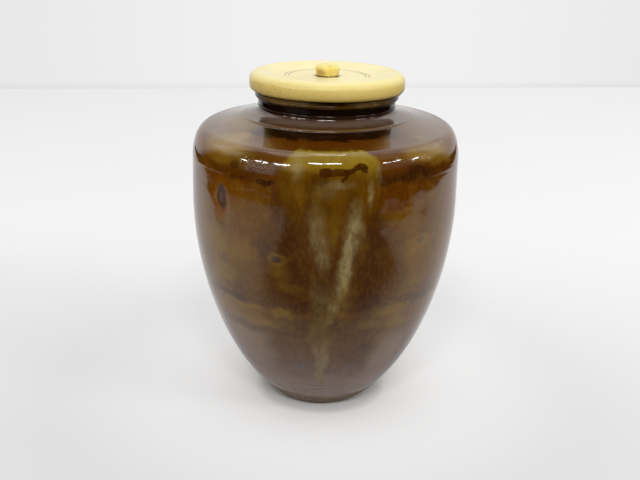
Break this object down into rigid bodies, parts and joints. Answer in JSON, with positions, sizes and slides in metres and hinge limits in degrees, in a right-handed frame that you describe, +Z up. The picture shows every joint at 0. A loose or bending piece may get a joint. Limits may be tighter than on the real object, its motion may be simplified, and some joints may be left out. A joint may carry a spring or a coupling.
{
  "type": "ceramic tea caddy",
  "caption": "Small shouldered stoneware tea caddy with a brown running glaze and a dished cream lid that lifts off by its knob.",
  "frame": {"origin": "middle of the flat face under the foot", "axes": "+Z up along the pot's axis of turning, through the knob; the side in the picture faces -Y"},
  "size_m": [0.0658, 0.0658, 0.0857],
  "materials": {
    "iron_glaze": "polished",
    "cream_lid": "satin",
    "warm_cream_knob": "satin",
    "gilt_paper": "satin"
  },
  "bodies": {
    "caddy": {"caddy_body": "iron_glaze"},
    "lid": {"lid_plate": "cream_lid", "lid_knob": "warm_cream_knob", "gold_leaf_lining": "gilt_paper"}
  },
  "joints": [
    {"name": "lid_lift", "type": "slide", "parent": "caddy", "child": "lid", "axis": [0, 0, 1], "range_m": [0, 0.045]}
  ]
}
